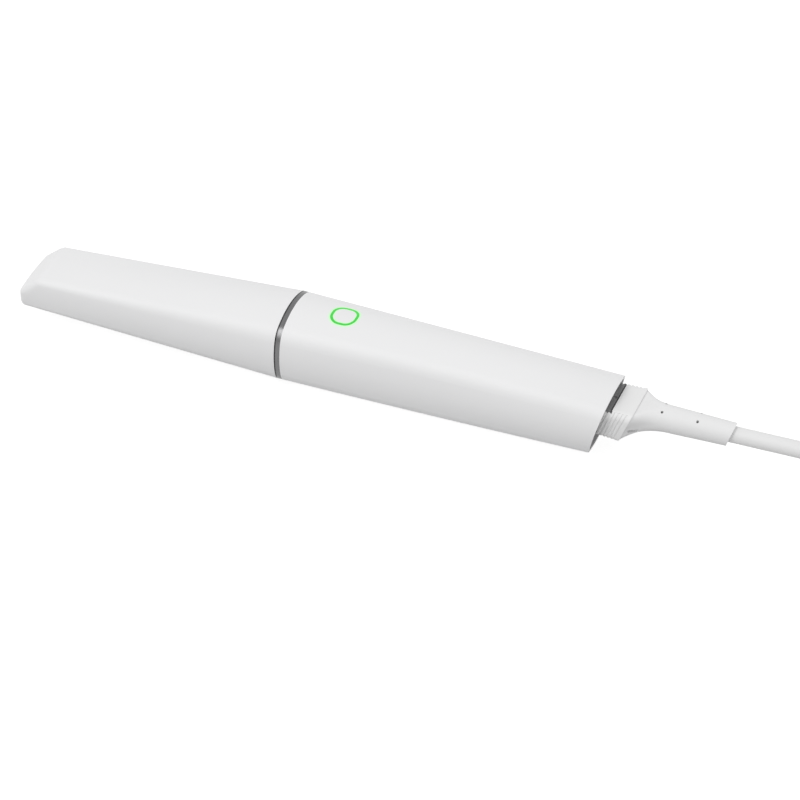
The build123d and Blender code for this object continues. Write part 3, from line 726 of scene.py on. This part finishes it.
def rod(name, start, end, y, z, first, last):
    """A rod along the wand, with a radius at each end."""
    bpy.ops.mesh.primitive_cone_add(
        vertices=40,
        radius1=first * MM,
        radius2=last * MM,
        depth=(end - start) * MM,
        location=((start + end) / 2 * MM, y * MM, z * MM),
        rotation=(0, math.radians(90), 0),
    )
    return settle(name)


# %% [markdown]
# With no mouse, a selection is a test. It gets the middle of a face and the way it faces, or the
# middle of an edge and the way it runs, and says yes or no. What is selected can then be cut across
# or extruded.

# %% Select and edit
def select(first, *others):
    """Select only these pieces, the first of them active."""
    bpy.ops.object.select_all(action="DESELECT")
    for piece in (first, *others):
        piece.select_set(True)
    bpy.context.view_layer.objects.active = first


def edit(piece):
    """Open a piece in edit mode."""
    select(piece)
    bpy.ops.object.mode_set(mode="EDIT")


def pick(piece, kind, test):
    """Select only the faces or edges that pass a test on their middle, in millimetres, and way."""
    bpy.ops.mesh.select_mode(type=kind)
    bpy.ops.mesh.select_all(action="DESELECT")
    mesh = bmesh.from_edit_mesh(piece.data)
    if kind == "FACE":
        found = [f for f in mesh.faces if test(f.calc_center_median() / MM, f.normal)]
    else:
        ends = [(e, e.verts[0].co, e.verts[1].co) for e in mesh.edges]
        found = [e for e, a, b in ends if test((a + b) / 2 / MM, (b - a).normalized())]
    for item in found:
        item.select_set(True)
    mesh.select_flush_mode()
    bmesh.update_edit_mesh(piece.data)
    return len(found)


def on_top(at, facing):
    """The test for faces that face up."""
    return facing.z > 0.9


def lengthways(at, way):
    """The test for edges that run along the wand."""
    return abs(way.x) > 0.9


# %% Cut and push
def cut(piece, facing, places, where=lambda at, facing: True):
    """Cut the faces that pass a test by planes that face one way, through places in millimetres."""
    for place in places:
        pick(piece, "FACE", where)
        bpy.ops.mesh.bisect(plane_co=[v * MM for v in place], plane_no=facing)


def push(depth):
    """Extrude the selected faces along their normals by millimetres, inwards when negative."""
    bpy.ops.mesh.extrude_region_shrink_fatten(TRANSFORM_OT_shrink_fatten={"value": depth * MM})


# %% [markdown]
# A piece is finished with modifiers, which are applied at once, and is then handed over.

# %% Helpers that end a piece
def apply(piece, kind, **settings):
    """Add a modifier and apply it."""
    select(piece)
    change = piece.modifiers.new(kind.lower(), kind)
    for name, value in settings.items():
        setattr(change, name, value)
    bpy.ops.object.modifier_apply(modifier=change.name)


def soften(piece, width, segments=2):
    """Bevel the sharp edges by a width in millimetres."""
    sharp = {"limit_method": "ANGLE", "angle_limit": math.radians(40)}
    apply(piece, "BEVEL", width=width * MM, segments=segments, **sharp)


def repeat(piece, count, step):
    """Put copies of a piece in a row, a step in millimetres apart."""
    spacing = {"use_relative_offset": False, "use_constant_offset": True}
    apply(piece, "ARRAY", count=count, **spacing, constant_offset_displace=[v * MM for v in step])


def join(first, *others):
    """Make several objects one piece."""
    select(first, *others)
    bpy.ops.object.join()
    return first


def hand_over(piece, finish, body, slot, *replaced):
    """Smooth the piece, give it its finish, and let it ride on its body."""
    select(piece)
    bpy.ops.object.shade_smooth_by_angle(angle=math.radians(35))
    piece.data.materials.clear()
    piece.data.materials.append(finish.material)
    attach(piece, body)
    if replaced:
        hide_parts(*replaced)
    print(piece.name, "has", len(piece.data.polygons), "faces and rides on", body)


# %% [markdown]
# The tip's nose
#
# Seen from above, the front of the tip isn't straight. It bows forwards by about a millimetre,
# which makes its outline round where a flat front would show corners. The solid's front is flat, so
# a copy of it is reshaped. Cuts give the nose points to move, the line down its middle is pulled
# forwards, and proportional editing takes the points beside it along, less and less towards the
# sides. Only connected points follow, so the inner wall and the mirror's ledges stay in place.

# %% Copies of solids
def duplicate(piece):
    """A second object with a mesh of its own."""
    select(piece)
    bpy.ops.object.duplicate(linked=False)
    return bpy.context.object


def copy_of(node, name):
    """A separate, welded copy of a CAD node, with its flat faces whole again."""
    made = duplicate(nodes[node])
    made.name = name
    made.parent = None
    made.matrix_world = Matrix.Identity(4)
    bpy.ops.mesh.customdata_custom_splitnormals_clear()
    edit(made)
    bpy.ops.mesh.select_all(action="SELECT")
    bpy.ops.mesh.remove_doubles(threshold=0.0005 * MM)
    bpy.ops.mesh.dissolve_limited(angle_limit=math.radians(0.2))
    bpy.ops.object.mode_set(mode="OBJECT")
    print(name, "starts with", len(made.data.polygons), "faces")
    return made


# %% Bow the nose
NOSE_X = -138.77
NOSE_ROW = 1.5
BOW = 1.25


def on_nose(at, facing):
    """The test for faces of the nose."""
    return at.x < -128


nose = copy_of("tip_shell", "scan_tip")
edit(nose)
cut(nose, (0, 1, 0), [(0, NOSE_ROW * k, 0) for k in range(-8, 9)], on_nose)
cut(nose, (1, 0, 0), [(NOSE_X + NOSE_ROW * k, 0, 0) for k in range(1, 7)], on_nose)
found = pick(nose, "EDGE", lambda at, way: at.x < NOSE_X + 0.6 and abs(at.y) < 0.01)
bpy.ops.transform.translate(
    value=(-BOW * MM, 0, 0),
    use_proportional_edit=True,
    use_proportional_connected=True,
    proportional_edit_falloff="SPHERE",
    proportional_size=13.5 * MM,
)
bpy.ops.object.mode_set(mode="OBJECT")
print("edges pulled forwards", found)
hand_over(nose, tip_white, "tip", "tip_white", "tip_shell")


# %% [markdown]
# The plug's grip
#
# The grip has fine ribs on both sides for the fingers, and they lean as its rear face does. A block
# starts it. Its rear is made a little larger, its long edges are rounded, and a leaning cut makes
# the rear face. More leaning cuts mark the grooves between the ribs, and the bands that they leave
# are pushed in. Last, two blocks are taken out with Boolean modifiers: the room for the dark core,
# and the notch that shows its top.

# %% Leaning planes of the grip
MOUTH_X = 90.23
GRIP_END = 106
GRIP_Z = 17.35
GRIP_TOP = 23.65
GRIP_REAR = 10.1
GROOVE = 0.6
LEAN = 0.385
LEANING = (1, 0, -LEAN)


def back(at):
    """How far a point lies behind the mouth, measured along the leaning ribs."""
    return at.x - MOUTH_X - LEAN * (at.z - GRIP_Z)


def behind(depth):
    """The place so far behind the mouth in the middle of the grip."""
    return (MOUTH_X + depth, 0, GRIP_Z)


# %% Ribbed grip
grip = block("ribbed_grip", (88.03, -9.9, 11.05), (GRIP_END, 9.9, GRIP_TOP))
edit(grip)
pick(grip, "FACE", lambda at, facing: facing.x > 0.9)
bpy.ops.transform.resize(value=(1, 1.074, 1.06), center_override=(GRIP_END * MM, 0, GRIP_TOP * MM))
pick(grip, "EDGE", lengthways)
bpy.ops.mesh.bevel(offset=2.9 * MM, segments=8, affect="EDGES")
bpy.ops.mesh.select_all(action="SELECT")
rear = [v * MM for v in behind(GRIP_REAR)]
bpy.ops.mesh.bisect(plane_co=rear, plane_no=LEANING, use_fill=True, clear_outer=True)
grooves = [0.5 + 1.45 * k for k in range(6)]
cut(grip, LEANING, [behind(edge) for start in grooves for edge in (start, start + GROOVE)])
for start in grooves:
    pick(
        grip,
        "FACE",
        lambda at, facing: start < back(at) < start + GROOVE and not -0.35 < facing.y < 0.15,
    )
    push(-0.3)
bpy.ops.object.mode_set(mode="OBJECT")
soften(grip, 0.12)
print("the grip has", len(grooves), "grooves on each side")

# %% Room for the core
def take_out(piece, low, high, rounding):
    """Cut a block with rounded long edges out of a piece."""
    room = block("room", low, high)
    edit(room)
    pick(room, "EDGE", lengthways)
    bpy.ops.mesh.bevel(offset=rounding * MM, segments=6, affect="EDGES")
    bpy.ops.object.mode_set(mode="OBJECT")
    apply(piece, "BOOLEAN", operation="DIFFERENCE", object=room, solver="EXACT")
    bpy.data.objects.remove(room)


take_out(grip, (87.0, -9.32, 12.68), (96.65, 9.32, 23.12), 2.0)
take_out(grip, (87.0, -8.95, 20.0), (MOUTH_X + 4.6, 8.95, 25.0), 0.3)
hand_over(grip, grip_white, "plug", "grip_white", "plug_grip")

# %% [markdown]
# The boot flows out of the grip's rear without a step. The solid boot starts smaller than the grip,
# so a copy of it is reshaped as the nose was. Its front rim is scaled up to the grip's rear edge,
# and the rows of points behind the rim follow less and less. The scaling keeps the rim's lean,
# because it is the same along the wand as in height. Its centre lies a little behind the rim's
# plane, so the rim also moves forwards by 0.15 mm and covers the rounded edge of the grip. The
# faces with many corners aren't flat after this, so they are split into triangles. A pocket is then
# cut into each flank, close behind the rim.

# %% Widen the boot's front
RIM_CENTRE = (102.67 * MM, 0, 21.09 * MM)
boot = copy_of("cable_boot", "flared_boot")
edit(boot)
rows = [behind(GRIP_REAR + 0.8 * k) for k in range(1, 9)]
cut(boot, LEANING, rows, lambda at, facing: at.x < 112)
found = pick(boot, "EDGE", lambda at, way: abs(back(at) - GRIP_REAR) < 0.05)
bpy.ops.transform.resize(
    value=(1.163, 1.16, 1.163),
    center_override=RIM_CENTRE,
    use_proportional_edit=True,
    use_proportional_connected=True,
    proportional_edit_falloff="SHARP",
    proportional_size=7.5 * MM,
)
bpy.ops.mesh.select_all(action="SELECT")
bpy.ops.mesh.quads_convert_to_tris()
bpy.ops.object.mode_set(mode="OBJECT")
print("edges on the rim", found)
for low, high in ((-9.8, -6.3), (6.3, 9.8)):
    take_out(boot, (101.0, low, 15.5), (104.6, high, 17.0), 0.45)
hand_over(boot, boot_white, "plug", "boot_white", "cable_boot")


# %% [markdown]
# The strap
#
# A strip of woven hook-and-loop tape holds the hank. The real one is wrapped tight, so it follows
# the bundle: flat under it, upright beside it, and slanted over the corner where the top layer has
# only one cord. A box gives the wrap. Its two ends are deleted, its long edges are rounded, and one
# of them is cut back far enough to make the slant. The loose end lies over the inner side.

# %% Strap
strap = block("hank_strap", (223.4, 26.3, 0.6), (232.4, 38.9, 19.6))
edit(strap)
pick(strap, "FACE", lambda at, facing: abs(facing.x) > 0.9)
bpy.ops.mesh.delete(type="FACE")
pick(strap, "EDGE", lambda at, way: abs(way.x) > 0.9 and at.y > 35 and at.z > 15)
bpy.ops.mesh.bevel(offset=5.6 * MM, segments=1, affect="EDGES")
pick(strap, "EDGE", lengthways)
bpy.ops.mesh.bevel(offset=2.2 * MM, segments=6, affect="EDGES")
bpy.ops.object.mode_set(mode="OBJECT")
apply(strap, "SOLIDIFY", thickness=0.55 * MM, offset=1.0, use_even_offset=True)

loose_end = block("loose_end", (223.6, 25.15, 4.0), (232.2, 25.72, 15.0))
edit(loose_end)
pick(loose_end, "EDGE", lambda at, way: abs(way.y) > 0.9 and at.z < 6)
bpy.ops.mesh.bevel(offset=2.6 * MM, segments=6, affect="EDGES")
pick(loose_end, "FACE", lambda at, facing: facing.y < -0.9)
bpy.ops.mesh.inset(thickness=0.7 * MM, depth=0)
bpy.ops.mesh.inset(thickness=0.25 * MM, depth=-0.12 * MM)
bpy.ops.mesh.inset(thickness=0.25 * MM, depth=0.12 * MM)
bpy.ops.object.mode_set(mode="OBJECT")
join(strap, loose_end)
soften(strap, 0.12)
print("the strap and its loose end have", len(strap.data.polygons), "faces")

# %% [markdown]
# Woven tape
#
# Tape is woven from threads of about half a millimetre. Two sine waves that cross, one along the
# tape's width and one round the wrap, rise and sink like the threads. The tape goes round corners,
# so the second wave reads height plus depth, which keeps going all the way round. A sine of 11.4
# times the millimetres has a wave of 0.55 mm.

# %% Weave
THREAD = 11.4
tie_grey = Finish("tie_grey", (0.35, 0.36, 0.37), 0.9, Sheen_Weight=0.35)
warp = (tie_grey.x * THREAD).wave()
weft = ((tie_grey.y + tie_grey.z) * THREAD).wave()
threads = warp * weft * 0.5 + 0.5
fuzz = tie_grey.noise(0.25, 3.0)
tie_grey.colour(threads * 0.6 + fuzz * 0.4, (0.24, 0.25, 0.26), (0.43, 0.44, 0.45))
tie_grey.change("Roughness", 0.82 + 0.14 * fuzz)
tie_grey.relief(threads + fuzz * 0.6, 0.09)
hand_over(strap, tie_grey, "plug", "tie_grey", "hank_tie")


# %% [markdown]
# The host plug
#
# At the computer's end the cable goes into a flat plug. Its body is a soft white overmould with
# grooves for the fingers on each side, and a short ribbed sleeve keeps the cable from kinking. The
# body starts as a box, is cut across, and each second band is pushed in. The sleeve starts as a
# tapered rod and gets its ribs the same way.

# %% Plug body
body = block("host_plug_body", (278.0, -0.6, 0.0), (295.0, 15.4, 8.0))
edit(body)
pick(body, "EDGE", lengthways)
bpy.ops.mesh.bevel(offset=2.4 * MM, segments=6, affect="EDGES")
pick(body, "EDGE", lambda at, way: abs(way.x) < 0.1 and at.x < 279)
bpy.ops.mesh.bevel(offset=1.4 * MM, segments=5, affect="EDGES")
width = 0.8
grooves = [281.6 + 1.9 * k for k in range(5)]
cut(body, (1, 0, 0), [(edge, 0, 0) for start in grooves for edge in (start, start + width)])
for start in grooves:
    pick(body, "FACE", lambda at, facing: start < at.x < start + width and abs(facing.y) > 0.3)
    push(-0.35)
pick(body, "FACE", lambda at, facing: facing.x > 0.9 and at.x > 294.9)
bpy.ops.mesh.inset(thickness=1.0 * MM, depth=0)
bpy.ops.mesh.inset(thickness=0.3 * MM, depth=-0.3 * MM)
bpy.ops.object.mode_set(mode="OBJECT")
soften(body, 0.12)
print("the plug's body has", len(grooves), "grooves on each side")

# %% Sleeve
sleeve = rod("host_sleeve", 270.97, 279.0, 7.4, 4.0, 3.55, 3.9)
edit(sleeve)
width = 0.5
grooves = [271.7 + 1.2 * k for k in range(6)]
cut(sleeve, (1, 0, 0), [(edge, 0, 0) for start in grooves for edge in (start, start + width)])
for start in grooves:
    pick(sleeve, "FACE", lambda at, facing: start < at.x < start + width and abs(facing.x) < 0.9)
    push(-0.4)
bpy.ops.object.mode_set(mode="OBJECT")
soften(sleeve, 0.08)
join(body, sleeve)
host_white = moulded("host_white", (0.80, 0.80, 0.80), 0.48, 0.30, 0.006)
hand_over(body, host_white, "plug", "host_white", "host_plug")

# %% [markdown]
# The plug's mouth is a sleeve of bent sheet steel, open at both ends, with two latch windows in its
# top and two in its bottom. The windows are cut out of a box without ends before it gets a wall.

# %% Plug shell with its latch windows
WINDOW_X = (299.0, 301.2)
WINDOWS_Y = ((3.6, 5.8), (9.0, 11.2))
shell = block("host_plug_shell", (294.7, 1.4, 1.75), (306.97, 13.4, 6.25))
edit(shell)
pick(shell, "EDGE", lengthways)
bpy.ops.mesh.bevel(offset=0.6 * MM, segments=4, affect="EDGES")
pick(shell, "FACE", lambda at, facing: abs(facing.x) > 0.9)
bpy.ops.mesh.delete(type="FACE")
cut(shell, (1, 0, 0), [(edge, 0, 0) for edge in WINDOW_X])
cut(shell, (0, 1, 0), [(0, edge, 0) for window in WINDOWS_Y for edge in window])


def in_window(at, facing):
    """The test for faces of a window, above or below."""
    aside = any(low < at.y < high for low, high in WINDOWS_Y)
    return abs(facing.z) > 0.9 and WINDOW_X[0] < at.x < WINDOW_X[1] and aside


opened = pick(shell, "FACE", in_window)
bpy.ops.mesh.delete(type="FACE")
bpy.ops.object.mode_set(mode="OBJECT")
print("latch windows", opened)
apply(shell, "SOLIDIFY", thickness=0.32 * MM, offset=-1.0, use_even_offset=True)
soften(shell, 0.06)

# %% Steel of the plug
host_steel = Finish("host_steel", (0.6, 0.6, 0.6), 0.22, Metallic=1.0)
rolled = host_steel.noise(0.3, 2.0, (12, 1, 1))
host_steel.colour(rolled, (0.54, 0.54, 0.55), (0.68, 0.68, 0.69))
host_steel.change("Roughness", 0.16 + 0.14 * rolled)
host_steel.relief(rolled, 0.004)
hand_over(shell, host_steel, "plug", "host_steel", "host_shell")


# %% [markdown]
# Contacts
#
# Both plugs touch through thin gilded springs. One spring is a small block whose front end is
# bevelled down so that it slides in, and the rest of the row are copies of it.

# %% Contact rows
contact_gold = Finish("contact_gold", (0.78, 0.56, 0.22), 0.25, Metallic=1.0)
worn = contact_gold.noise(0.8, 3.0, (3, 1, 1))
contact_gold.colour(worn, (0.72, 0.50, 0.20), (0.83, 0.62, 0.27))
contact_gold.change("Roughness", 0.18 + 0.16 * worn)


def contact_row(name, low, high, pitch, count):
    """A row of springs beside each other, made from one that is repeated."""
    spring = block(name, low, high)
    edit(spring)
    pick(spring, "EDGE", lambda at, way: abs(way.y) > 0.9 and abs(at.x - high[0]) < 0.1)
    bpy.ops.mesh.bevel(offset_type="PERCENT", offset_pct=30, segments=2, affect="EDGES")
    bpy.ops.object.mode_set(mode="OBJECT")
    repeat(spring, count, (0, pitch, 0))
    return spring


host_contacts = contact_row("host_contacts", (298.6, 3.5, 3.72), (305.9, 4.6, 3.87), 2.25, 4)
tongue_contacts = contact_row("tongue_contacts", (73.6, -5.1, 18.5), (78.6, -4.5, 18.62), 1.2, 9)
hand_over(host_contacts, contact_gold, "plug", "host_steel")
hand_over(tongue_contacts, contact_gold, "handpiece", "board_green")


# %% [markdown]
# Parts on the boards
#
# A bare green board looks like a sheet of plastic. Real ones carry packages with rows of legs, tiny
# ceramic capacitors with tinned ends, a steel crystal can and a connector. None of them shows from
# outside, but the model can be opened. Each kind is modelled once, and the rest are copies with
# meshes of their own.

# %% Chips
def copy_to(piece, name, x, y):
    """A copy that is moved on its board by millimetres."""
    duplicate(piece).location = (x * MM, y * MM, 0)
    return settle(name)


chip = block("board_chips", (49.0, -8.2, 11.0), (57.0, -2.6, 12.2))
edit(chip)
pick(chip, "FACE", on_top)
bpy.ops.mesh.inset(thickness=0.25 * MM, depth=0)
bpy.ops.transform.translate(value=(0, 0, 0.12 * MM))
bpy.ops.mesh.inset(thickness=0.3 * MM, depth=0)
bpy.ops.mesh.inset(thickness=0.1 * MM, depth=-0.05 * MM)
bpy.ops.object.mode_set(mode="OBJECT")
soften(chip, 0.08)
join(chip, copy_to(chip, "chip_copy", 0, 11), copy_to(chip, "chip_copy", 10.5, 2.5))
hand_over(chip, chip_black, "handpiece", "chip_black")

# %% Rows of legs
tin = Finish("tinned_leg", (0.6, 0.6, 0.62), 0.3, Metallic=1.0)
dull = tin.noise(0.3, 2.0)
tin.change("Roughness", 0.22 + 0.2 * dull)
tin.colour(dull, (0.52, 0.52, 0.54), (0.66, 0.66, 0.68))


def leg_row(x, y, outwards):
    """Nine bent legs beside a chip, their feet on the board."""
    near, far = sorted((y, y + 0.9 * outwards))
    leg = block("chip_legs", (x, near, 10.92), (x + 0.35, far, 11.5))
    edit(leg)
    pick(
        leg,
        "EDGE",
        lambda at, way: abs(way.x) > 0.9 and at.z > 11.2 and (at.y - y) * outwards > 0.5,
    )
    bpy.ops.mesh.bevel(offset=0.45 * MM, segments=3, affect="EDGES")
    bpy.ops.object.mode_set(mode="OBJECT")
    repeat(leg, 9, (0.82, 0, 0))
    return leg


sides = [(49.5, -8.2, -1), (49.5, -2.6, 1), (49.5, 2.8, -1), (49.5, 8.4, 1)]
sides += [(60.0, -5.7, -1), (60.0, -0.1, 1)]
legs = join(*[leg_row(*side) for side in sides])
hand_over(legs, tin, "handpiece", "screw_steel")

# %% Crystal and connector
BOARD_Z = 10.95
can = block("crystal_can", (60.0, 2.4, BOARD_Z), (65.0, 5.6, 11.35))
edit(can)
pick(can, "EDGE", lambda at, way: abs(way.z) > 0.9)
bpy.ops.mesh.bevel(offset=0.7 * MM, segments=5, affect="EDGES")
pick(can, "FACE", on_top)
bpy.ops.mesh.inset(thickness=0.35 * MM, depth=0)
push(0.8)
bpy.ops.object.mode_set(mode="OBJECT")
soften(can, 0.15, 3)
hand_over(can, host_steel, "handpiece", "host_steel")

connector = block("board_connector", (60.5, 6.6, BOARD_Z), (67.5, 9.6, 13.4))
edit(connector)
pick(connector, "FACE", on_top)
bpy.ops.mesh.inset(thickness=0.5 * MM, depth=0)
push(-1.6)
bpy.ops.object.mode_set(mode="OBJECT")
soften(connector, 0.1)
hand_over(connector, host_white, "handpiece", "host_white")

# %% [markdown]
# A capacitor is brown in its middle and tinned at both ends. A Ping-Pong node gives the distance
# from the nearest one's middle, because the row repeats at an even pitch.

# %% Capacitors
CERAMIC = (-8.65, -7.65)
CAP_MIDDLE = -8.15
CAP_PITCH = 2.6
BROWN = (0.42, 0.30, 0.20)
caps = block("board_capacitors", (47.0, -9.0, BOARD_Z), (47.9, -7.3, 11.75))
edit(caps)
cut(caps, (0, 1, 0), [(0, edge, 0) for edge in CERAMIC])
pick(caps, "FACE", lambda at, facing: CERAMIC[0] < at.y < CERAMIC[1] and abs(facing.y) < 0.5)
push(-0.06)
bpy.ops.object.mode_set(mode="OBJECT")
soften(caps, 0.016)
repeat(caps, 7, (0, CAP_PITCH, 0))
ceramic = Finish("capacitor_ceramic", BROWN, 0.45)
off_middle = ceramic.y.maths("PINGPONG", ceramic.y - CAP_MIDDLE, CAP_PITCH / 2)
end_cap = off_middle.fade(0.48, 0.52)
ceramic.colour(end_cap, BROWN, (0.60, 0.60, 0.62))
ceramic.change("Metallic", end_cap)
ceramic.change("Roughness", 0.5 - 0.2 * end_cap + 0.1 * ceramic.noise(0.3, 2.0))
hand_over(caps, ceramic, "handpiece", "chip_black")

# %% [markdown]
# The green ring is lit from below by four small diodes on the button's board, one at the middle of
# each of its sides. Each is a block with a shallow pan in its top.

# %% Lights under the ring
diode = block("button_lights", (-18.0, -0.8, 23.1), (-17.0, 0.8, 23.7))
edit(diode)
pick(diode, "FACE", on_top)
bpy.ops.mesh.inset(thickness=0.2 * MM, depth=0)
push(-0.12)
bpy.ops.object.mode_set(mode="OBJECT")
soften(diode, 0.05)
moves = ((10.9, 0), (5.45, 5.4), (5.45, -5.4))
lights = join(diode, *[copy_to(diode, "light_copy", x, y) for x, y in moves])
hand_over(lights, host_white, "handpiece", "host_white")
